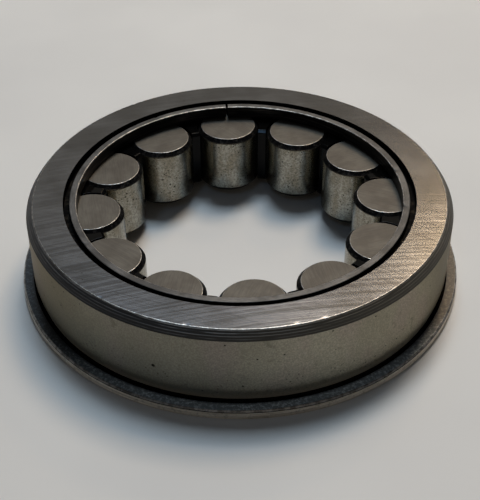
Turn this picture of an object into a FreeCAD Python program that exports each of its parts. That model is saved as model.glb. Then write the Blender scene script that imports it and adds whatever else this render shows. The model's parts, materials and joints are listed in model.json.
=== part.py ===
# Flanged cylindrical roller bearing: an outer ring with its roller set, and no inner ring.
#
# The frame is in millimetres. +Z is the bearing's axis, the origin is on that axis at the
# flange-side face, and the first roller and the retaining ring's split lie towards +Y.
import FreeCAD, Part
import math
import os

# Outer ring
outer_d = 120.0            # ground cylinder that sits in the housing
width = 26.2               # face to face
flange_d = 126.5
flange_t = 3.0
flange_bevel = 0.35        # small bevels on the flange's rim
undercut_depth = 0.75      # grinding undercut in the cylinder, beside the flange
undercut_sink = 0.25       # how far it goes down into the flange's face
undercut_reach = 0.3       # how far it goes out into that face, past the cylinder
neck_top_z = 3.5           # from here the undercut runs out in a long gentle ramp
ramp_top_z = 6.0
top_chamfer_r = 1.85       # unground chamfer at the upper outer corner, radial and axial
top_chamfer_z = 2.4
lip_bore_d = 99.0          # upper lip, over the retaining ring's groove
edge_break = 0.3           # small broken edges
rib_bore_d = 91.8          # integral rib on the flange side
rib_t = 2.6
rib_chamfer = 0.8
relief_depth = 0.35        # grinding relief in the raceway's corner, beside the rib
relief_width = 0.6

# Roller set
roller_count = 12
roller_d = 19.0
roller_length = 19.0
roller_chamfer_r = 1.1      # turned chamfers at both ends, radial and axial
roller_chamfer_z = 1.3
pitch_d = 84.7             # circle through the rollers' axes
first_angle = 90.0         # of the first roller, from +X
radial_play = 0.03         # between a roller and the raceway, with the roller on its circle
rib_play = 0.1             # between a roller's lower end and the rib

# Retaining ring, an angle section: a collar that stands up in the lip bore, and a foot that
# lies in the groove behind the lip
collar_outer_d = 95.8
collar_recess = 0.3        # below the upper face
ring_bottom_z = 22.1
foot_t = 1.8
foot_play = 0.15           # axial, in the groove
foot_outer_d = 105.0
groove_play = 0.1          # radial, in the groove
split_gap = 0.7

# Retainer segments between the rollers
pocket_play = 0.2          # radial, around a roller
segment_inner_d = 79.4
segment_outer_d = 103.0
segment_half_angle = 8.5
segment_length = 18.6
segment_play = 0.05        # between a segment's lower end and the rib
segment_chamfer = 0.8

# Worked out from the driving dimensions
outer_r = outer_d / 2
flange_r = flange_d / 2
roller_r = roller_d / 2
pitch_r = pitch_d / 2
raceway_r = pitch_r + roller_r + radial_play
rib_bore_r = rib_bore_d / 2
lip_bore_r = lip_bore_d / 2
foot_r = foot_outer_d / 2
groove_r = foot_r + groove_play
groove_top_z = ring_bottom_z + foot_t + foot_play
roller_z = rib_t + rib_play
step_angle = 360.0 / roller_count
overcut = 1.0              # how far a cutting shape runs on past the metal

centre = FreeCAD.Vector(0, 0, 0)
up = FreeCAD.Vector(0, 0, 1)


def turned(outline):
    """A solid turned about the bearing's axis from (radius, height) corners."""
    corners = [FreeCAD.Vector(radius, 0, height) for radius, height in outline]
    wire = Part.makePolygon(corners + corners[:1])
    return Part.Face(wire).revolve(centre, up, 360)


def turned_to(shape, degrees):
    """A copy of the shape, turned about the bearing's axis."""
    copy = shape.copy()
    copy.rotate(centre, up, degrees)
    return copy


def outer_ring():
    """The flanged ring, with its raceway, lower rib, ring groove and upper lip."""
    neck_r = outer_r - undercut_depth
    neck_bottom = flange_t - undercut_sink
    relief_r = raceway_r + relief_depth
    relief_top = rib_t + relief_width
    outside = [
        (rib_bore_r + rib_chamfer, 0),
        (flange_r - flange_bevel, 0),
        (flange_r, flange_bevel),
        (flange_r, flange_t - flange_bevel),
        (flange_r - flange_bevel, flange_t),
        (outer_r + undercut_reach, flange_t),
        (outer_r, neck_bottom),
        (neck_r, neck_bottom),
        (neck_r, neck_top_z),
        (outer_r, ramp_top_z),
        (outer_r, width - top_chamfer_z),
        (outer_r - top_chamfer_r, width),
    ]
    inside = [
        (lip_bore_r + edge_break, width),
        (lip_bore_r, width - edge_break),
        (lip_bore_r, groove_top_z),
        (groove_r, groove_top_z),
        (groove_r, ring_bottom_z),
        (raceway_r, ring_bottom_z),
        (raceway_r, relief_top + relief_depth),
        (relief_r, relief_top),
        (relief_r, rib_t),
        (rib_bore_r + edge_break, rib_t),
        (rib_bore_r, rib_t - edge_break),
        (rib_bore_r, rib_chamfer),
    ]
    return turned(outside + inside)


def retaining_ring():
    """The split ring that closes the roller track on the lip side."""
    collar_r = collar_outer_d / 2
    top = width - collar_recess
    foot_top = ring_bottom_z + foot_t
    ring = turned([
        (rib_bore_r + edge_break, ring_bottom_z),
        (foot_r - edge_break, ring_bottom_z),
        (foot_r, ring_bottom_z + edge_break),
        (foot_r, foot_top - edge_break),
        (foot_r - edge_break, foot_top),
        (collar_r, foot_top),
        (collar_r, top - edge_break),
        (collar_r - edge_break, top),
        (rib_bore_r + edge_break, top),
        (rib_bore_r, top - edge_break),
        (rib_bore_r, ring_bottom_z + edge_break),
    ])
    corner = FreeCAD.Vector(-split_gap / 2, rib_bore_r - overcut, 0)
    split = Part.makeBox(split_gap, foot_r - rib_bore_r + 2 * overcut, width, corner)
    return ring.cut(split)


def roller():
    """One roller, standing on its circle on the +X side."""
    flat_r = roller_r - roller_chamfer_r
    top = roller_z + roller_length
    shape = turned([
        (0, roller_z),
        (flat_r, roller_z),
        (roller_r, roller_z + roller_chamfer_z),
        (roller_r, top - roller_chamfer_z),
        (flat_r, top),
        (0, top),
    ])
    shape.translate(FreeCAD.Vector(pitch_r, 0, 0))
    return shape


def retainer_segment():
    """One wedge centred on the +X side, hollowed on both flanks by the rollers beside it."""
    bottom = rib_t + segment_play
    top = bottom + segment_length
    inner_r = segment_inner_d / 2
    outer_segment_r = segment_outer_d / 2
    wedge = turned([
        (inner_r, bottom + segment_chamfer),
        (inner_r + segment_chamfer, bottom),
        (outer_segment_r - segment_chamfer, bottom),
        (outer_segment_r, bottom + segment_chamfer),
        (outer_segment_r, top - segment_chamfer),
        (outer_segment_r - segment_chamfer, top),
        (inner_r + segment_chamfer, top),
        (inner_r, top - segment_chamfer),
    ])
    reach = outer_segment_r + overcut
    half_width = reach * math.tan(math.radians(segment_half_angle))
    below = bottom - overcut
    cut_height = segment_length + 2 * overcut
    fan_corners = [
        FreeCAD.Vector(0, 0, below),
        FreeCAD.Vector(reach, -half_width, below),
        FreeCAD.Vector(reach, half_width, below),
    ]
    fan = Part.Face(Part.makePolygon(fan_corners + fan_corners[:1])).extrude(up * cut_height)
    wedge = wedge.common(fan)
    for side in (-0.5, 0.5):
        angle = math.radians(side * step_angle)
        foot = FreeCAD.Vector(pitch_r * math.cos(angle), pitch_r * math.sin(angle), below)
        wedge = wedge.cut(Part.makeCylinder(roller_r + pocket_play, cut_height, foot))
    return wedge


def build():
    """Every piece by name, at its place."""
    pieces = {"outer_ring": outer_ring(), "retaining_ring": retaining_ring()}
    for index in range(roller_count):
        angle = first_angle + index * step_angle
        number = f"{index + 1:02d}"
        pieces[f"roller_{number}"] = turned_to(roller(), angle)
        pieces[f"retainer_segment_{number}"] = turned_to(retainer_segment(), angle + step_angle / 2)
    return pieces


os.makedirs("parts", exist_ok=True)
for name, shape in build().items():
    solid = shape.Solids[0]
    if len(shape.Solids) != 1 or not solid.isValid():
        raise ValueError(f"{name} is not one valid solid")
    solid.exportStep(f"parts/{name}.step")
    print(name, round(solid.Volume, 1), "mm3")
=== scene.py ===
import json
import math
import random

import bpy
from mathutils import Matrix, Vector


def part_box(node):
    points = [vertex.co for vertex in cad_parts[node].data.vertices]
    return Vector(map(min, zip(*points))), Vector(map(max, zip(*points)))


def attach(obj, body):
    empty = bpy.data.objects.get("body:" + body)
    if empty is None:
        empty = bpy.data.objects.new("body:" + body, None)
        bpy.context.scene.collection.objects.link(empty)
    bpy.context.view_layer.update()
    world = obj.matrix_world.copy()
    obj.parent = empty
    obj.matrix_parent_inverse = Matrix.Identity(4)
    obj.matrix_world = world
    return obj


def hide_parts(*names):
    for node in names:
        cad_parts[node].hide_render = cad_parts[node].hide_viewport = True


# A flanged cylindrical roller bearing without an inner ring, lying on its flange.
# Every length below is in millimetres and every mesh is built in them; MM makes metres.

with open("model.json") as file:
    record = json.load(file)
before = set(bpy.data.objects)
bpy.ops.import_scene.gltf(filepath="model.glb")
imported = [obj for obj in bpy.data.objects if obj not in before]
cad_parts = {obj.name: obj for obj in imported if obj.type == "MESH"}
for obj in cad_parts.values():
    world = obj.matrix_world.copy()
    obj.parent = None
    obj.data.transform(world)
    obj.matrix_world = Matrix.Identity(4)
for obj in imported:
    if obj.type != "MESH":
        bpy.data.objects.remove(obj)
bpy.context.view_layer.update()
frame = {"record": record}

MM = 0.001
TURN = 2 * math.pi

# Sizes that the frame holds
record_mounts = {mount["name"]: mount for mount in frame["record"]["mounts"]}
seat = record_mounts["housing_seat"]
SEAT_R = seat["dims"]["r_mm"]
SEAT_MID = seat["pos_m"][2] / MM
SEAT_HALF = seat["dims"]["length_mm"] / 2
FLANGE_T = record_mounts["flange_shoulder"]["pos_m"][2] / MM


def frame_box(node):
    """A CAD node's lowest and highest corners, in millimetres."""
    low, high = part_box(node)
    return low / MM, high / MM


RING_CORNER = frame_box("outer_ring")[1]
FLANGE_R = RING_CORNER.x
WIDTH = RING_CORNER.z
RETAINING_LOW, RETAINING_HIGH = frame_box("retaining_ring")
FOOT_R = RETAINING_HIGH.x
RING_BOTTOM = RETAINING_LOW.z
RING_TOP = RETAINING_HIGH.z
ROLLER_LOW, ROLLER_HIGH = frame_box("roller_01")
ROLLER_R = (ROLLER_HIGH.x - ROLLER_LOW.x) / 2
PITCH_R = (ROLLER_HIGH.y + ROLLER_LOW.y) / 2

# Sizes of features inside those boxes
ROLLERS = 12
FLANGE_BEVEL = 0.35
TOP_CHAMFER_R = 1.85
LIP_BORE_R = 49.5
RIB_BORE_R = 45.9
RIB_T = 2.6
RIB_CHAMFER = 0.8
RELIEF_DEPTH = 0.35
RELIEF_WIDTH = 0.6
RACEWAY_PLAY = 0.03
RACEWAY_R = PITCH_R + ROLLER_R + RACEWAY_PLAY
GROOVE_PLAY = 0.1
GROOVE_R = FOOT_R + GROOVE_PLAY
COLLAR_R = 47.9
FOOT_T = 1.8
FOOT_PLAY = 0.15
GROOVE_TOP = RING_BOTTOM + FOOT_T + FOOT_PLAY
SPLIT_GAP = 0.7
UNDERCUT_DEPTH = 0.75
UNDERCUT_SINK = 0.25
UNDERCUT_REACH = 0.3
NECK_TOP = FLANGE_T + 0.5
RAMP_TOP = SEAT_MID - SEAT_HALF
RUN_OUT_R = 9.0
ROLLER_CHAMFER_R = 1.1
ROLLER_CHAMFER_Z = 1.3
SEGMENT_INNER_R = 39.7
SEGMENT_OUTER_R = 51.5
SEGMENT_HALF_ANGLE = math.radians(8.5)
SEGMENT_CHAMFER = 0.8
POCKET_PLAY = 0.2
POCKET_R = ROLLER_R + POCKET_PLAY

# Turning ridges on the top chamfer. Places and half width are shares of the chamfer's length.
CHAMFER_RIDGES = (0.40, 0.60, 0.80)
RIDGE_HALF_WIDTH = 0.05
RIDGE_HEIGHT = 0.06

# The shallow groove in the flange's rim, with its depths below the flange's upper face
RIM_GROOVE_DEPTH = 0.15
RIM_GROOVE_LOW = 0.75
RIM_GROOVE_FLOOR = 0.6
RIM_GROOVE_HIGH = 0.42

# Edges with a smaller rounding than this get fewer points and take no nicks, and roundings of
# LARGE_ROUNDING and up get more points
SMALL_EDGE = 0.155
LARGE_ROUNDING = 1
NICK_REACH = 0.75
SUPPORT_SHARE = 0.45       # of a run's length, the furthest that a support point may lie along it
SEGMENT_EDGE = 0.12        # bevel on a segment's edges

# Steps round a full turn of each turned piece
RING_STEPS = 600
RETAINING_RING_STEPS = 480
ROLLER_STEPS = 96

# Moves each roller's pattern this far along, so that no two show the same dirt
PATTERN_SHIFT = 60

# The camera stands in front of the bearing and a little to the left of roller 7. Its angles
# are in degrees.
CAMERA_AZIMUTH = -4.8
CAMERA_REACH = 256.4
CAMERA_HEIGHT = 207.1
CAMERA_TILT = 38.285
CAMERA_ROLL = -0.35
CAMERA_LENS = 79.85
SENSOR = 36.0


# ---------------------------------------------------------------- shader nodes

class Shader:
    """A material under construction, with short calls for the nodes that it needs."""

    def __init__(self, name):
        self.material = bpy.data.materials.new(name)
        self.material.use_nodes = True
        self.tree = self.material.node_tree
        self.surface = self.tree.nodes["Principled BSDF"]

    def node(self, kind, inputs=(), **settings):
        """A new node. inputs are (socket, value) pairs, and a value may be another socket."""
        made = self.tree.nodes.new("ShaderNode" + kind)
        for key, value in settings.items():
            setattr(made, key, value)
        for key, value in inputs:
            if isinstance(value, bpy.types.NodeSocket):
                self.tree.links.new(value, made.inputs[key])
            else:
                made.inputs[key].default_value = value
        return made

    def place(self):
        """Where a point is on its piece, in millimetres."""
        return self.node("Attribute", attribute_name="place").outputs["Vector"]

    def split(self):
        """The x, y and z of that place."""
        return self.node("SeparateXYZ", ((0, self.place()),)).outputs

    def math(self, operation, *values):
        return self.node("Math", enumerate(values), operation=operation).outputs[0]

    def length(self, x, y):
        """How far a point of the plan is from the origin."""
        return self.math("SQRT", self.math("ADD", self.math("MULTIPLY", x, x),
                                           self.math("MULTIPLY", y, y)))

    def scaled(self, vector, x, y, z):
        inputs = ((0, vector), (1, (x, y, z)))
        return self.node("VectorMath", inputs, operation="MULTIPLY").outputs[0]

    def polar(self):
        """Radius, angle in radians and height of a point about the bearing's axis."""
        x, y, height = self.split()
        return self.length(x, y), self.math("ARCTAN2", y, x), height

    def vector(self, x, y, z):
        return self.node("CombineXYZ", ((0, x), (1, y), (2, z))).outputs[0]

    def noise(self, vector, scale, detail=3.0, roughness=0.5):
        return self.node("TexNoise", (("Vector", vector), ("Scale", scale), ("Detail", detail),
                                      ("Roughness", roughness))).outputs[0]

    def streaks(self, across, along, across_scale, along_scale, detail, roughness):
        """Noise drawn out into lines: across runs over them, and along follows them."""
        stretched = self.vector(self.math("MULTIPLY", across, across_scale),
                                self.math("MULTIPLY", along, along_scale), 0.0)
        return self.noise(stretched, 1.0, detail, roughness)

    def spots(self, vector, scale, radius):
        """1 in scattered round spots, 0 between them; radius is in cells."""
        cell = self.node("TexVoronoi",
                         (("Vector", vector), ("Scale", scale), ("Randomness", 1.0)))
        return self.step(cell.outputs["Distance"], radius, radius * 0.55)

    def dimple(self, degrees, radius, height, size):
        """1 in a small dent at a place on a turned surface, 0 outside it."""
        angle = math.radians(degrees)
        spot = (radius * math.cos(angle), radius * math.sin(angle), height)
        ends = ((0, self.place()), (1, spot))
        away = self.node("VectorMath", ends, operation="DISTANCE").outputs[1]
        return self.step(away, size, size * 0.6)

    def step(self, value, start, end):
        """0 at start, 1 at end, smooth between."""
        return self.node("MapRange", ((0, value), (1, start), (2, end), (3, 0.0), (4, 1.0)),
                         interpolation_type="SMOOTHSTEP").outputs[0]

    def mix(self, share, first, second):
        """The first colour where share is 0, and the second where it is 1."""
        inputs = ((0, share), (6, first), (7, second))
        return self.node("Mix", inputs, data_type="RGBA").outputs[2]

    def between(self, share, low, high):
        """low where share is 0, and high where it is 1."""
        inputs = ((0, share), (1, 0.0), (2, 1.0), (3, low), (4, high))
        return self.node("MapRange", inputs).outputs[0]

    def along(self, axis, start, end):
        """0 at start and 1 at end of the axis, by its index, in millimetres."""
        return self.step(self.split()[axis], start, end)

    def side(self):
        """0 on the bearing's -X side, 1 on its +X side."""
        return self.along(0, -30.0, 30.0)

    def arcs(self, centre_x, centre_y, fineness, detail=3.0):
        """Streaks along wide circles round a far centre, as a grinding wheel leaves them."""
        x, y, _ = self.split()
        x = self.math("SUBTRACT", x, centre_x)
        y = self.math("SUBTRACT", y, centre_y)
        angle = self.math("ARCTAN2", y, x)
        return self.streaks(self.length(x, y), angle, fineness, 4.0, detail, 0.7)

    def finish(self, colour, metallic, roughness, bump=None, depth=0.0):
        """Wires the surface. Bump heights are 0 to 1, and depth is their size in millimetres."""
        self.set("Base Color", colour)
        self.set("Metallic", metallic)
        self.set("Roughness", roughness)
        if bump is not None:
            made = self.node("Bump",
                             (("Strength", 1.0), ("Distance", depth * MM), ("Height", bump)))
            self.tree.links.new(made.outputs[0], self.surface.inputs["Normal"])
        return self.material

    def set(self, name, value):
        """Gives the surface a value, or links it where the value is a socket."""
        if isinstance(value, bpy.types.NodeSocket):
            self.tree.links.new(value, self.surface.inputs[name])
        else:
            self.surface.inputs[name].default_value = value


# ------------------------------------------------------------------- materials

def ground_face():
    """Surface-ground steel: two families of wheel arcs that cross, over an uneven grey."""
    s = Shader("ground_face")
    wheel = (30.0, -330.0, 0.80)
    first = s.arcs(*wheel)
    second = s.arcs(-150.0, -290.0, 1.05)
    streaks = s.math("ADD", s.math("MULTIPLY", first, 0.72), s.math("MULTIPLY", second, 0.28))
    cloud = s.noise(s.place(), 0.045, 3.0, 0.55)
    colour = s.mix(s.step(cloud, 0.38, 0.62), (0.136, 0.136, 0.135, 1), (0.190, 0.193, 0.197, 1))
    worn = s.mix(0.62, colour, (0.055, 0.052, 0.048, 1))
    clear = s.between(s.along(1, 15.0, -45.0), 0.40, 1.0)
    shown = s.math("MULTIPLY", s.math("SUBTRACT", 1.0, s.step(streaks, 0.44, 0.55)), clear)
    colour = s.mix(shown, colour, worn)
    fine = s.noise(s.scaled(s.place(), 0.25, 1.7, 1.0), 1.0, 3.0, 0.7)
    colour = s.mix(s.step(fine, 0.40, 0.62), s.mix(0.14, colour, (0.05, 0.047, 0.042, 1)), colour)
    specks = s.spots(s.place(), 0.30, 0.075)
    colour = s.mix(s.math("MULTIPLY", specks, 0.8), colour, (0.035, 0.03, 0.028, 1))
    bump = s.arcs(*wheel, 1.0)
    return s.finish(colour, 1.0, s.between(streaks, 0.27, 0.19), bump, 0.018)


def turned_black():
    """The unground chamfer: dark scale with rubbed turning lines, with painted warm light that
    makes it lighter and browner towards +X and a painted highlight on the lines towards -Y.
    """
    s = Shader("turned_black")
    radius, angle, height = s.polar()
    across = s.math("SUBTRACT", height, radius)
    wear = s.streaks(across, angle, 1.0, 5.0, 4.0, 0.65)
    wave = s.math("SINE", s.math("ADD", s.math("MULTIPLY", across, 6.2),
                                 s.math("MULTIPLY", wear, 3.0)))
    # Painted warm light: both tones of the chamfer are lighter and browner on the +X side.
    side = s.side()
    dark = s.mix(side, (0.022, 0.021, 0.021, 1), (0.070, 0.062, 0.048, 1))
    light = s.mix(side, (0.17, 0.168, 0.168, 1), (0.25, 0.222, 0.178, 1))
    # Painted highlight: the turning lines turn pale grey towards -Y, most on the -X side.
    front = s.along(1, -50.0, -58.5)
    front = s.math("MULTIPLY", front, s.between(side, 0.8, 0.0))
    light = s.mix(front, light, (0.46, 0.46, 0.45, 1))
    upper = s.step(across, WIDTH - SEAT_R - 1.6, WIDTH - SEAT_R + TOP_CHAMFER_R)
    lines = s.math("MULTIPLY", s.step(wave, 0.35, 0.95), s.step(wear, 0.36, 0.56))
    colour = s.mix(s.math("MULTIPLY", lines, s.between(upper, 0.35, 1.0)), dark, light)
    return s.finish(colour, 0.25, s.between(wear, 0.60, 0.44), wave, 0.012)


def ground_cylinder():
    """The housing seat: satin ground steel with faint tints, a few pits and old stains, and painted
    shade that darkens its -X side, its far +X edge and its foot by the flange.
    """
    s = Shader("ground_cylinder")
    _, angle, height = s.polar()
    lines = s.streaks(height, angle, 5.0, 9.0, 3.0, 0.6)
    mottle = s.noise(s.place(), 2.2, 5.0, 0.7)
    cloud = s.noise(s.place(), 0.05, 3.0, 0.5)
    tint = s.noise(s.scaled(s.place(), 1.0, 1.0, 0.5), 0.07, 2.0, 0.5)
    colour = s.mix(s.step(cloud, 0.35, 0.65), (0.345, 0.320, 0.245, 1), (0.415, 0.390, 0.305, 1))
    tinted = s.math("MULTIPLY", s.step(tint, 0.48, 0.66), 0.6)
    colour = s.mix(tinted, colour, (0.40, 0.335, 0.295, 1))
    # Painted shade: the -X side of the seat is darker.
    colour = s.mix(s.side(), s.mix(0.42, colour, (0.085, 0.083, 0.072, 1)), colour)
    # Painted shade: darker again towards the far +X edge of the seat.
    colour = s.mix(s.along(0, 42.0, 57.0), colour, s.mix(0.62, colour, (0.055, 0.052, 0.045, 1)))
    dull = s.mix(0.45, colour, (0.11, 0.10, 0.08, 1))
    colour = s.mix(s.step(mottle, 0.40, 0.64), dull, colour)
    stain = s.math("MULTIPLY", s.step(s.noise(s.place(), 0.2, 4.0, 0.65), 0.58, 0.72), 0.4)
    colour = s.mix(stain, colour, (0.09, 0.078, 0.058, 1))
    pits = s.math("MAXIMUM", s.spots(s.place(), 0.28, 0.085), s.dimple(243.7, SEAT_R, 12.1, 0.6))
    colour = s.mix(pits, colour, (0.012, 0.011, 0.009, 1))
    crowd = s.step(s.noise(s.place(), 0.13, 2.0, 0.5), 0.42, 0.60)
    crowd = s.math("MULTIPLY", crowd, s.step(height, RAMP_TOP + 12, RAMP_TOP + 1))
    dirt = s.math("MULTIPLY", s.spots(s.place(), 0.85, 0.27), crowd)
    colour = s.mix(s.math("MULTIPLY", dirt, 0.75), colour, (0.05, 0.042, 0.03, 1))
    # Painted shade: a ragged darker band at the foot of the seat, next to the flange.
    ragged_shade_height = s.math("ADD", height, s.math("MULTIPLY", mottle, 1.6))
    low = s.step(ragged_shade_height, RAMP_TOP + 4.6, RAMP_TOP - 1.4)
    colour = s.mix(s.math("MULTIPLY", low, 0.68), colour, (0.115, 0.10, 0.075, 1))
    rough = s.between(s.math("MULTIPLY", s.math("ADD", mottle, lines), 0.5), 0.28, 0.50)
    bump = s.math("SUBTRACT", s.math("MULTIPLY", lines, 0.4),
                  s.math("ADD", pits, s.math("MULTIPLY", mottle, 0.25)))
    metallic = s.step(height, NECK_TOP, RAMP_TOP + 1.0)
    s.surface.inputs["Specular Tint"].default_value = (0.62, 0.58, 0.52, 1)
    return s.finish(colour, metallic, rough, bump, 0.035)


def oily_black():
    """Undercut, groove and hidden inner walls: black scale with old oil."""
    s = Shader("oily_black")
    cloud = s.noise(s.place(), 0.6, 4.0, 0.6)
    colour = s.mix(s.step(cloud, 0.45, 0.75), (0.004, 0.004, 0.004, 1), (0.016, 0.014, 0.011, 1))
    s.surface.inputs["Specular Tint"].default_value = (0.08, 0.075, 0.07, 1)
    return s.finish(colour, 1.0, s.between(cloud, 0.42, 0.62), cloud, 0.05)


def flange_black():
    """The flange's upper face: blue-black scale with painted light: bluer on the -X side, browner
    on the +X side, pale blue towards -Y, and painted shade next to the seat.
    """
    s = Shader("flange_black")
    radius, _, _ = s.polar()
    mottle = s.noise(s.place(), 1.0, 4.0, 0.75)
    cloud = s.noise(s.place(), 0.05, 3.0, 0.5)
    # Painted light: the scale is bluer on the -X side and browner on the +X side.
    side = s.side()
    # Painted light: both tones turn pale blue towards -Y.
    painted_front_light = s.along(1, -30.0, -58.0)
    dark = s.mix(side, (0.022, 0.027, 0.031, 1), (0.030, 0.026, 0.019, 1))
    dark = s.mix(painted_front_light, dark, (0.33, 0.39, 0.43, 1))
    light = s.mix(side, (0.075, 0.090, 0.100, 1), (0.085, 0.073, 0.055, 1))
    light = s.mix(painted_front_light, light, (0.80, 0.90, 0.95, 1))
    rubbed = s.math("MULTIPLY", s.step(mottle, 0.48, 0.60), s.step(cloud, 0.25, 0.50))
    colour = s.mix(rubbed, dark, light)
    # Painted shade: the flange turns near black next to the seat, in the corner under the cylinder.
    inside = s.step(radius, SEAT_R + 1.2, SEAT_R + 0.3)
    colour = s.mix(s.math("MULTIPLY", inside, 0.75), colour, (0.006, 0.008, 0.010, 1))
    return s.finish(colour, 0.3, s.between(mottle, 0.45, 0.28), mottle, 0.035)


def flange_rim():
    """The flange's turned rim: brownish steel with lines round it."""
    s = Shader("flange_rim")
    _, angle, height = s.polar()
    lines = s.streaks(height, angle, 3.5, 3.0, 3.0, 0.6)
    mottle = s.noise(s.place(), 0.9, 4.0, 0.7)
    colour = s.mix(s.step(lines, 0.35, 0.65), (0.48, 0.42, 0.335, 1), (0.78, 0.71, 0.60, 1))
    grime = s.math("MULTIPLY", s.step(mottle, 0.48, 0.70), 0.5)
    colour = s.mix(grime, colour, (0.16, 0.14, 0.11, 1))
    return s.finish(colour, 0.5, s.between(mottle, 0.38, 0.55), lines, 0.04)


def worn_edge():
    """Broken edges that handling has rubbed bright, with darker stretches."""
    s = Shader("worn_edge")
    patch = s.noise(s.place(), 0.5, 4.0, 0.7)
    colour = s.mix(s.step(patch, 0.40, 0.62), (0.17, 0.163, 0.150, 1), (0.42, 0.41, 0.39, 1))
    return s.finish(colour, 1.0, s.between(patch, 0.50, 0.28), patch, 0.04)


def raceway():
    """The ground raceway and ribs inside, dark and oily."""
    s = Shader("raceway")
    _, angle, height = s.polar()
    lines = s.streaks(height, angle, 6.0, 5.0, 2.0, 0.5)
    cloud = s.noise(s.place(), 0.2, 3.0, 0.6)
    colour = s.mix(s.step(cloud, 0.35, 0.65), (0.07, 0.06, 0.045, 1), (0.17, 0.155, 0.13, 1))
    return s.finish(colour, 1.0, s.between(lines, 0.36, 0.24), lines, 0.015)


def collar_face():
    """The retaining ring's upper face: light grey, scratched and nicked."""
    s = Shader("collar_face")
    radius, angle, _ = s.polar()
    lines = s.streaks(radius, angle, 2.6, 20.0, 4.0, 0.7)
    cloud = s.noise(s.place(), 0.14, 4.0, 0.6)
    colour = s.mix(s.step(cloud, 0.35, 0.65), (0.038, 0.037, 0.035, 1), (0.098, 0.096, 0.092, 1))
    dull = s.mix(0.6, colour, (0.025, 0.023, 0.021, 1))
    colour = s.mix(s.step(lines, 0.36, 0.54), dull, colour)
    specks = s.spots(s.place(), 0.6, 0.11)
    colour = s.mix(s.math("MULTIPLY", specks, 0.8), colour, (0.04, 0.03, 0.025, 1))
    return s.finish(colour, 0.5, s.between(lines, 0.40, 0.54), lines, 0.035)


def collar_wall():
    """The retaining ring's walls, black with oil."""
    s = Shader("collar_wall")
    _, angle, height = s.polar()
    lines = s.streaks(height, angle, 2.0, 4.0, 3.0, 0.6)
    colour = s.mix(s.step(lines, 0.45, 0.72), (0.008, 0.008, 0.009, 1), (0.055, 0.050, 0.044, 1))
    return s.finish(colour, 0.9, s.between(lines, 0.50, 0.34), lines, 0.02)


def roller_end():
    """A roller's flat end: brown-grey satin with faint straight scratches one way."""
    s = Shader("roller_end")
    grain = s.noise(s.scaled(s.place(), 0.20, 3.2, 0.2), 1.0, 3.0, 0.65)
    cloud = s.noise(s.place(), 0.14, 3.0, 0.55)
    colour = s.mix(s.step(cloud, 0.35, 0.65), (0.078, 0.068, 0.054, 1), (0.108, 0.098, 0.080, 1))
    dull = s.mix(0.35, colour, (0.045, 0.040, 0.034, 1))
    colour = s.mix(s.step(grain, 0.36, 0.60), dull, colour)
    specks = s.spots(s.place(), 0.34, 0.07)
    colour = s.mix(s.math("MULTIPLY", specks, 0.6), colour, (0.04, 0.035, 0.03, 1))
    s.surface.inputs["Specular IOR Level"].default_value = 0.35
    return s.finish(colour, 0.4, s.between(grain, 0.60, 0.48), grain, 0.020)


def roller_chamfer():
    """The turned chamfer of a roller, left dark."""
    s = Shader("roller_chamfer")
    cloud = s.noise(s.place(), 0.8, 4.0, 0.7)
    colour = s.mix(s.step(cloud, 0.45, 0.75), (0.008, 0.008, 0.009, 1), (0.075, 0.070, 0.064, 1))
    s.surface.inputs["Specular IOR Level"].default_value = 0.2
    return s.finish(colour, 0.8, s.between(cloud, 0.40, 0.55), cloud, 0.03)


def roller_body():
    """A roller's ground and run-in body: smooth, with specks of dirt and smears of oil."""
    s = Shader("roller_body")
    smear = s.noise(s.scaled(s.place(), 1.0, 1.0, 0.45), 0.35, 4.0, 0.6)
    mottle = s.noise(s.place(), 1.7, 4.0, 0.7)
    colour = s.mix(s.step(smear, 0.35, 0.65), (0.28, 0.255, 0.20, 1), (0.39, 0.38, 0.33, 1))
    dull = s.mix(0.55, colour, (0.10, 0.09, 0.07, 1))
    colour = s.mix(s.step(mottle, 0.42, 0.58), dull, colour)
    crowd = s.step(s.noise(s.place(), 0.16, 2.0, 0.5), 0.34, 0.56)
    small = s.spots(s.place(), 0.9, 0.24)
    large = s.spots(s.place(), 0.36, 0.135)
    specks = s.math("MULTIPLY", s.math("MAXIMUM", small, large), crowd)
    colour = s.mix(s.math("MULTIPLY", specks, 0.92), colour, (0.022, 0.018, 0.012, 1))
    return s.finish(colour, 1.0, s.between(smear, 0.30, 0.17), specks, -0.02)


def segment_black():
    """Retainer segments: black polymer under a film of oil."""
    s = Shader("segment_black")
    cloud = s.noise(s.place(), 0.5, 4.0, 0.6)
    colour = s.mix(cloud, (0.001, 0.001, 0.001, 1), (0.003, 0.003, 0.003, 1))
    s.surface.inputs["Specular IOR Level"].default_value = 0.10
    return s.finish(colour, 0.0, s.between(cloud, 0.07, 0.14), cloud, 0.01)


def pale_floor():
    """A plain pale tabletop."""
    s = Shader("pale_floor")
    cloud = s.noise(s.place(), 0.012, 3.0, 0.5)
    colour = s.mix(s.step(cloud, 0.3, 0.7), (0.69, 0.685, 0.665, 1), (0.745, 0.74, 0.715, 1))
    return s.finish(colour, 0.0, s.between(cloud, 0.55, 0.65))


# -------------------------------------------------------------------- geometry

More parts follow.
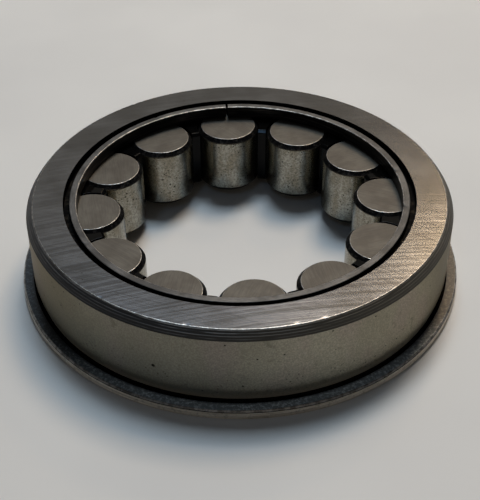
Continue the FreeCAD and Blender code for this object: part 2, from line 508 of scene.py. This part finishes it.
def rounded(corners):
    """Section points from corners (radius, height, rounding, run material, edge material).

    Each corner becomes an arc, with support points on either side that keep the runs flat.
    Returns (radius, height, material of the strip that follows).
    """
    points = []
    for index, (radius, height, rounding, run, edge) in enumerate(corners):
        here = Vector((radius, height))
        if rounding == 0:
            points.append((here.x, here.y, run))
            continue
        before = Vector(corners[index - 1][:2])
        after = Vector(corners[(index + 1) % len(corners)][:2])
        back = (before - here).normalized()
        on = (after - here).normalized()
        half = back.angle(on) / 2
        tangent = rounding / math.tan(half)
        middle = here + (back + on).normalized() * (rounding / math.sin(half))
        start = here + back * tangent - middle
        turn = start.angle_signed(here + on * tangent - middle)
        supports = [tangent + min(0.4 * rounding, 0.3)]
        if SMALL_EDGE < rounding < LARGE_ROUNDING:
            supports += [tangent + NICK_REACH, tangent + 1.25 * NICK_REACH]
        last_run = corners[index - 1][3]
        for reach in reversed(supports):
            if reach < (before - here).length * SUPPORT_SHARE:
                points.append((*(here + back * reach), last_run))
        steps = 2 if rounding < SMALL_EDGE else 4 if rounding < LARGE_ROUNDING else 8
        for step in range(steps + 1):
            spot = middle + Matrix.Rotation(-turn * step / steps, 2) @ start
            points.append((spot.x, spot.y, edge if step < steps else run))
        for reach in supports:
            if reach < (after - here).length * SUPPORT_SHARE:
                points.append((*(here + on * reach), run))
    return points


def ridged(start, end, run):
    """Corners of the turning ridges on a straight run."""
    start = Vector(start)
    along = Vector(end) - start
    outward = Vector((along.y, -along.x)).normalized() * RIDGE_HEIGHT
    corners = []
    for share in CHAMFER_RIDGES:
        for shift, lift in ((-RIDGE_HALF_WIDTH, 0), (0, 1), (RIDGE_HALF_WIDTH, 0)):
            spot = start + along * (share + shift) + outward * lift
            corners.append((spot.x, spot.y, 0, run, None))
    return corners


def dented(point, nicks):
    """The point pushed in by any nick near it: (place, reach, push)."""
    moved = Vector(point)
    for place, reach, push in nicks:
        away = (point - place).length / reach
        if away < 1:
            moved += push * (1 - away * away) ** 2
    return moved


def nick(degrees, radius, height, depth, outward=1.0):
    """A small dent in an edge, pushed down and towards the metal."""
    angle = math.radians(degrees)
    away = Vector((math.cos(angle), math.sin(angle), 0))
    push = (Vector((0, 0, -1)) - away * outward).normalized() * depth
    return away * radius + Vector((0, 0, height)), NICK_REACH, push


def build_mesh(name, points, faces, slots, materials, place=None):
    """A piece from millimetre points, with its materials and its place attribute."""
    mesh = bpy.data.meshes.new(name)
    mesh.from_pydata([point * MM for point in points], [], faces)
    for material in materials:
        mesh.materials.append(material)
    mesh.polygons.foreach_set("material_index", slots)
    mesh.shade_smooth()
    attribute = mesh.attributes.new("place", "FLOAT_VECTOR", "POINT")
    values = [value for point in (place or points) for value in point]
    attribute.data.foreach_set("vector", values)
    mesh.validate()
    piece = bpy.data.objects.new(name, mesh)
    bpy.context.scene.collection.objects.link(piece)
    return piece


def lathe(name, section, steps, nicks=(), gap=None):
    """A turned piece from a closed section. A gap is (middle, width) in radians, with flat ends.

    The steps go round the whole turn, or round what a gap leaves of it.
    """
    materials = [point[2] for point in section]
    order = list(dict.fromkeys(materials))
    rows = steps + 1 if gap else steps
    first, sweep = (gap[0] + gap[1] / 2, TURN - gap[1]) if gap else (0.0, TURN)
    points = []
    for row in range(rows):
        angle = first + sweep * row / steps
        for radius, height, _ in section:
            spot = Vector((radius * math.cos(angle), radius * math.sin(angle), height))
            points.append(dented(spot, nicks))
    count = len(section)
    faces = []
    slots = []
    for row in range(steps):
        here = row * count
        there = (row + 1) % rows * count
        for index in range(count):
            after = (index + 1) % count
            faces.append((here + index, there + index, there + after, here + after))
            slots.append(order.index(materials[index]))
    if gap:
        for row, turned in ((0, False), (steps, True)):
            cap = list(range(len(points), len(points) + count))
            points += [point.copy() for point in points[row * count:(row + 1) * count]]
            faces.append(tuple(reversed(cap) if turned else cap))
            slots.append(order.index("collar_wall"))
    return build_mesh(name, points, faces, slots, [MATERIALS[key] for key in order])


def make_outer_ring():
    """The flanged ring. The section runs up the outside and down the inside."""
    neck_r = SEAT_R - UNDERCUT_DEPTH
    neck_bottom = FLANGE_T - UNDERCUT_SINK
    chamfer_bottom = (SEAT_R, SEAT_MID + SEAT_HALF)
    chamfer_top = (SEAT_R - TOP_CHAMFER_R, WIDTH)
    relief_top = RIB_T + RELIEF_WIDTH
    rim_groove_r = FLANGE_R - RIM_GROOVE_DEPTH
    corners = [
        (RIB_BORE_R + RIB_CHAMFER, 0, 0.2, "ground_face", "worn_edge"),
        (FLANGE_R - FLANGE_BEVEL, 0, 0.1, "flange_rim", "flange_rim"),
        (FLANGE_R, FLANGE_BEVEL, 0.15, "flange_rim", "flange_rim"),
        (FLANGE_R, FLANGE_T - RIM_GROOVE_LOW, 0.05, "oily_black", "flange_rim"),
        (rim_groove_r, FLANGE_T - RIM_GROOVE_FLOOR, 0.05, "oily_black", "oily_black"),
        (FLANGE_R, FLANGE_T - RIM_GROOVE_HIGH, 0.06, "worn_edge", "worn_edge"),
        (FLANGE_R - FLANGE_BEVEL, FLANGE_T, 0.2, "flange_black", "worn_edge"),
        (SEAT_R + UNDERCUT_REACH, FLANGE_T, 0.1, "oily_black", "oily_black"),
        (SEAT_R, neck_bottom, 0.1, "oily_black", "oily_black"),
        (neck_r, neck_bottom, 0.15, "oily_black", "oily_black"),
        (neck_r, NECK_TOP, 0.15, "ground_cylinder", "ground_cylinder"),
        (SEAT_R, RAMP_TOP, RUN_OUT_R, "ground_cylinder", "ground_cylinder"),
        (*chamfer_bottom, 0.18, "turned_black", "turned_black"),
        *ridged(chamfer_bottom, chamfer_top, "turned_black"),
        (*chamfer_top, 0.42, "ground_face", "worn_edge"),
        (LIP_BORE_R, WIDTH, 0.16, "oily_black", "oily_black"),
        (LIP_BORE_R, GROOVE_TOP, 0.1, "oily_black", "oily_black"),
        (GROOVE_R, GROOVE_TOP, 0.15, "oily_black", "oily_black"),
        (GROOVE_R, RING_BOTTOM, 0.15, "oily_black", "oily_black"),
        (RACEWAY_R, RING_BOTTOM, 0.1, "raceway", "raceway"),
        (RACEWAY_R, relief_top + RELIEF_DEPTH, 0.1, "oily_black", "raceway"),
        (RACEWAY_R + RELIEF_DEPTH, relief_top, 0.1, "oily_black", "oily_black"),
        (RACEWAY_R + RELIEF_DEPTH, RIB_T, 0.15, "raceway", "oily_black"),
        (RIB_BORE_R, RIB_T, 0.3, "raceway", "raceway"),
        (RIB_BORE_R, RIB_CHAMFER, 0.15, "turned_black", "turned_black"),
    ]
    edge_r, edge_z = chamfer_top
    nicks = [
        nick(252, edge_r, edge_z, 0.20),
        nick(279, edge_r, edge_z, 0.16),
        nick(286, edge_r, edge_z, 0.14),
        nick(228, edge_r, edge_z, 0.14),
        nick(120, edge_r, edge_z, 0.16),
        nick(31, edge_r, edge_z, 0.18),
        nick(262, FLANGE_R, FLANGE_T, 0.20),
        nick(257, FLANGE_R, FLANGE_T, 0.16),
        nick(301, FLANGE_R, FLANGE_T, 0.16),
        nick(150, FLANGE_R, FLANGE_T, 0.22),
        nick(20, FLANGE_R, FLANGE_T, 0.16),
    ]
    ring = lathe("outer_ring_finished", rounded(corners), RING_STEPS, nicks)
    carry(ring, "ring_body", "outer_ring")


def make_retaining_ring():
    """The split ring, with its collar up in the lip bore and its foot behind the lip."""
    foot_top = RING_BOTTOM + FOOT_T
    corners = [
        (RIB_BORE_R, RING_BOTTOM, 0.25, "collar_wall", "collar_wall"),
        (FOOT_R, RING_BOTTOM, 0.25, "collar_wall", "collar_wall"),
        (FOOT_R, foot_top, 0.25, "oily_black", "collar_wall"),
        (COLLAR_R, foot_top, 0.15, "oily_black", "oily_black"),
        (COLLAR_R, RING_TOP, 0.2, "collar_face", "collar_face"),
        (RIB_BORE_R, RING_TOP, 0.25, "collar_wall", "worn_edge"),
    ]
    nicks = [
        nick(8, RIB_BORE_R, RING_TOP, 0.30, -1.0),
        nick(-14, RIB_BORE_R, RING_TOP, 0.35, -1.0),
        nick(-52, COLLAR_R, RING_TOP, 0.25),
        nick(143, RIB_BORE_R, RING_TOP, 0.25, -1.0),
        nick(118, COLLAR_R, RING_TOP, 0.22),
        nick(247, RIB_BORE_R, RING_TOP, 0.25, -1.0),
        nick(276, RIB_BORE_R, RING_TOP, 0.25, -1.0),
        nick(205, COLLAR_R, RING_TOP, 0.25),
        nick(63, RIB_BORE_R, RING_TOP, 0.22, -1.0),
    ]
    gap = (math.radians(90), SPLIT_GAP / RIB_BORE_R)
    section = rounded(corners)
    ring = lathe("retaining_ring_finished", section, RETAINING_RING_STEPS, nicks, gap)
    carry(ring, "ring_body", "retaining_ring")


def make_roller(number):
    """One roller, with its own grain direction and its own scatter of dirt."""
    node = f"roller_{number:02d}"
    low, high = frame_box(node)
    middle = (low + high) / 2
    grain = random.Random(number).uniform(0, TURN)
    flat_r = ROLLER_R - ROLLER_CHAMFER_R
    corners = [
        (0, low.z, 0, "roller_end", None),
        (flat_r, low.z, 0.22, "roller_chamfer", "worn_edge"),
        (ROLLER_R, low.z + ROLLER_CHAMFER_Z, 0.5, "roller_body", "roller_body"),
        (ROLLER_R, high.z - ROLLER_CHAMFER_Z, 0.5, "roller_chamfer", "roller_body"),
        (flat_r, high.z, 0.22, "roller_end", "worn_edge"),
        (0, high.z, 0, "roller_end", None),
    ]
    section = rounded(corners)[1:-1]
    shift = PATTERN_SHIFT * number
    points = []
    place = []
    for row in range(ROLLER_STEPS):
        angle = TURN * row / ROLLER_STEPS
        turned = angle + grain
        for radius, height, _ in section:
            points.append(Vector((middle.x + radius * math.cos(angle),
                                  middle.y + radius * math.sin(angle), height)))
            place.append(Vector((radius * math.cos(turned) + shift,
                                 radius * math.sin(turned), height)))
    count = len(section)
    order = ["roller_end", "roller_chamfer", "roller_body", "worn_edge"]
    faces = []
    slots = []
    for row in range(ROLLER_STEPS):
        here = row * count
        there = (row + 1) % ROLLER_STEPS * count
        for index in range(count - 1):
            faces.append((here + index, there + index, there + index + 1, here + index + 1))
            slots.append(order.index(section[index][2]))
    for index, height in ((0, low.z), (count - 1, high.z)):
        centre = len(points)
        points.append(Vector((middle.x, middle.y, height)))
        place.append(Vector((shift, 0, height)))
        for row in range(ROLLER_STEPS):
            here = row * count + index
            there = (row + 1) % ROLLER_STEPS * count + index
            faces.append((centre, there, here) if index == 0 else (centre, here, there))
            slots.append(order.index("roller_end"))
    materials = [MATERIALS[key] for key in order]
    roller = build_mesh(node + "_finished", points, faces, slots, materials, place)
    carry(roller, node + "_body", node)


def segment_outline(inset):
    """A segment's plan, centred on +X, with its inner and outer faces moved in by inset."""
    inner_r = SEGMENT_INNER_R + inset
    outer_r = SEGMENT_OUTER_R - inset
    pocket_angle = math.pi / ROLLERS
    centre = PITCH_R * Vector((math.cos(pocket_angle), math.sin(pocket_angle)))
    share = (inner_r ** 2 + PITCH_R ** 2 - POCKET_R ** 2) / (2 * inner_r * PITCH_R)
    inner_angle = pocket_angle - math.acos(share)
    off = pocket_angle - SEGMENT_HALF_ANGLE
    tip_r = PITCH_R * math.cos(off) + math.sqrt(POCKET_R ** 2 - (PITCH_R * math.sin(off)) ** 2)
    tip = tip_r * Vector((math.cos(SEGMENT_HALF_ANGLE), math.sin(SEGMENT_HALF_ANGLE)))
    first = inner_r * Vector((math.cos(inner_angle), math.sin(inner_angle))) - centre
    turn = first.angle_signed(tip - centre)
    side = []
    arc_steps = 16
    for step in range(arc_steps + 1):
        side.append(centre + Matrix.Rotation(-turn * step / arc_steps, 2) @ first)
    outer = []
    outer_steps = 8
    for step in range(outer_steps + 1):
        angle = SEGMENT_HALF_ANGLE * (1 - 2 * step / outer_steps)
        outer.append(outer_r * Vector((math.cos(angle), math.sin(angle))))
    mirrored = [Vector((point.x, -point.y)) for point in reversed(side)]
    return side + outer + mirrored


def make_segment(number):
    """One retainer segment: the plan drawn up, with chamfered ends and softened edges."""
    node = f"retainer_segment_{number:02d}"
    low, high = frame_box(node)
    heading = Matrix.Rotation(math.radians(90) + TURN / ROLLERS * (number - 0.5), 2)
    levels = ((low.z, SEGMENT_CHAMFER), (low.z + SEGMENT_CHAMFER, 0),
              (high.z - SEGMENT_CHAMFER, 0), (high.z, SEGMENT_CHAMFER))
    points = []
    for height, inset in levels:
        for spot in segment_outline(inset):
            spot = heading @ spot
            points.append(Vector((spot.x, spot.y, height)))
    count = len(points) // len(levels)
    faces = []
    for level in range(len(levels) - 1):
        here = level * count
        for index in range(count):
            after = (index + 1) % count
            faces.append((here + index, here + after, here + count + after, here + count + index))
    top = (len(levels) - 1) * count
    faces.append(tuple(reversed(range(count))))
    faces.append(tuple(range(top, top + count)))
    materials = [MATERIALS["segment_black"]]
    piece = build_mesh(node + "_finished", points, faces, [0] * len(faces), materials)
    soften = piece.modifiers.new("soft_edges", "BEVEL")
    soften.limit_method = "ANGLE"
    soften.angle_limit = math.radians(25)
    soften.width = SEGMENT_EDGE * MM
    soften.segments = 2
    soften.harden_normals = True
    carry(piece, "retainer_set", node)


def carry(piece, body, node):
    """Puts a finished piece on its body, in place of its CAD node."""
    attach(piece, body)
    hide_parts(node)


# ----------------------------------------------------------------------- stage

def studio_point(azimuth, elevation, distance):
    """A point seen from the bearing: azimuth to the right of straight behind, in degrees."""
    bearing = math.radians(90 + CAMERA_AZIMUTH - azimuth)
    lift = math.radians(elevation)
    return Vector((math.cos(bearing) * math.cos(lift), math.sin(bearing) * math.cos(lift),
                   math.sin(lift))) * distance


def make_panel(name, azimuth, elevation, distance, width, height, radiance, colour):
    """A soft rectangular light in metres that faces the bearing."""
    light = bpy.data.lights.new(name, "AREA")
    light.shape = "RECTANGLE"
    light.size = width
    light.size_y = height
    light.energy = radiance * math.pi * width * height
    light.color = colour
    panel = bpy.data.objects.new(name, light)
    panel.location = studio_point(azimuth, elevation, distance)
    panel.rotation_euler = (-panel.location).to_track_quat("-Z", "Y").to_euler()
    bpy.context.scene.collection.objects.link(panel)


def make_lights():
    """Strong panels above the back, dim ones behind that the top mirrors, weak ones in front."""
    make_panel("warm_key", 18, 58, 1.3, 0.36, 0.36, 17.0, (1.0, 0.80, 0.60))
    make_panel("cool_top", 0, 71, 1.3, 0.34, 0.34, 18.5, (0.68, 0.84, 1.0))
    make_panel("dim_back", 0, 34, 1.6, 2.2, 0.7, 0.36, (1.0, 0.93, 0.82))
    make_panel("cool_back", -2, 50, 1.4, 0.70, 0.20, 1.25, (0.44, 0.68, 1.0))
    make_panel("warm_back", 18, 40, 1.4, 0.09, 0.09, 27.0, (1.0, 0.72, 0.44))
    make_panel("front_fill", 175, 30, 1.8, 2.0, 1.0, 0.13, (1.0, 0.86, 0.70))
    make_panel("cool_front", -154, 57, 1.4, 0.10, 0.10, 10.0, (0.35, 0.62, 1.0))
    make_surroundings()


def make_surroundings():
    """A room that is dim overhead and paler towards the ground, where the side views look."""
    world = bpy.data.worlds.new("studio")
    bpy.context.scene.world = world
    world.use_nodes = True
    tree = world.node_tree
    background = tree.nodes["Background"]
    background.inputs["Color"].default_value = (0.95, 0.96, 1.0, 1)
    heading = tree.nodes.new("ShaderNodeTexCoord")
    split = tree.nodes.new("ShaderNodeSeparateXYZ")
    glow = tree.nodes.new("ShaderNodeMapRange")
    glow.interpolation_type = "SMOOTHSTEP"
    for key, value in (("From Min", -0.5), ("From Max", 0.45), ("To Min", 0.45), ("To Max", 0.028)):
        glow.inputs[key].default_value = value
    tree.links.new(heading.outputs["Generated"], split.inputs[0])
    tree.links.new(split.outputs["Z"], glow.inputs["Value"])
    tree.links.new(glow.outputs[0], background.inputs["Strength"])


def make_floor():
    """A wide pale disc under the bearing, in rings that widen outwards."""
    reach = 6000.0
    ring_shares = (0.01, 0.04, 0.2, 1.0)
    steps = 64
    points = [Vector((0, 0, 0))]
    for share in ring_shares:
        for step in range(steps):
            angle = TURN * step / steps
            points.append(Vector((math.cos(angle), math.sin(angle), 0)) * reach * share)
    faces = [(0, 1 + step, 1 + (step + 1) % steps) for step in range(steps)]
    for ring in range(len(ring_shares) - 1):
        for step in range(steps):
            here = 1 + ring * steps
            after = (step + 1) % steps
            faces.append((here + step, here + steps + step, here + steps + after, here + after))
    floor = build_mesh("floor", points, faces, [0] * len(faces), [pale_floor()])


def make_camera():
    """The camera, tilted down at the bearing."""
    data = bpy.data.cameras.new("camera")
    data.lens = CAMERA_LENS
    data.sensor_width = SENSOR
    data.clip_start = 0.01
    data.clip_end = 50
    camera = bpy.data.objects.new("camera", data)
    turn = math.radians(CAMERA_AZIMUTH)
    camera.location = Vector((math.sin(turn) * CAMERA_REACH, -math.cos(turn) * CAMERA_REACH,
                              CAMERA_HEIGHT)) * MM
    tilt = Matrix.Rotation(math.radians(90 - CAMERA_TILT), 3, "X")
    roll = Matrix.Rotation(math.radians(CAMERA_ROLL), 3, "Z")
    heading = Matrix.Rotation(turn, 3, "Z")
    camera.rotation_euler = (heading @ tilt @ roll).to_euler()
    bpy.context.scene.collection.objects.link(camera)
    bpy.context.scene.camera = camera


MATERIAL_MAKERS = (
    ground_face, turned_black, ground_cylinder, oily_black, flange_black, flange_rim, worn_edge,
    raceway, collar_face, collar_wall, roller_end, roller_chamfer, roller_body, segment_black,
)
MATERIALS = {maker.__name__: maker() for maker in MATERIAL_MAKERS}

make_camera()
make_outer_ring()
make_retaining_ring()
for roller_number in range(1, ROLLERS + 1):
    make_roller(roller_number)
    make_segment(roller_number)
make_floor()
make_lights()
bpy.context.scene.view_settings.view_transform = "Standard"
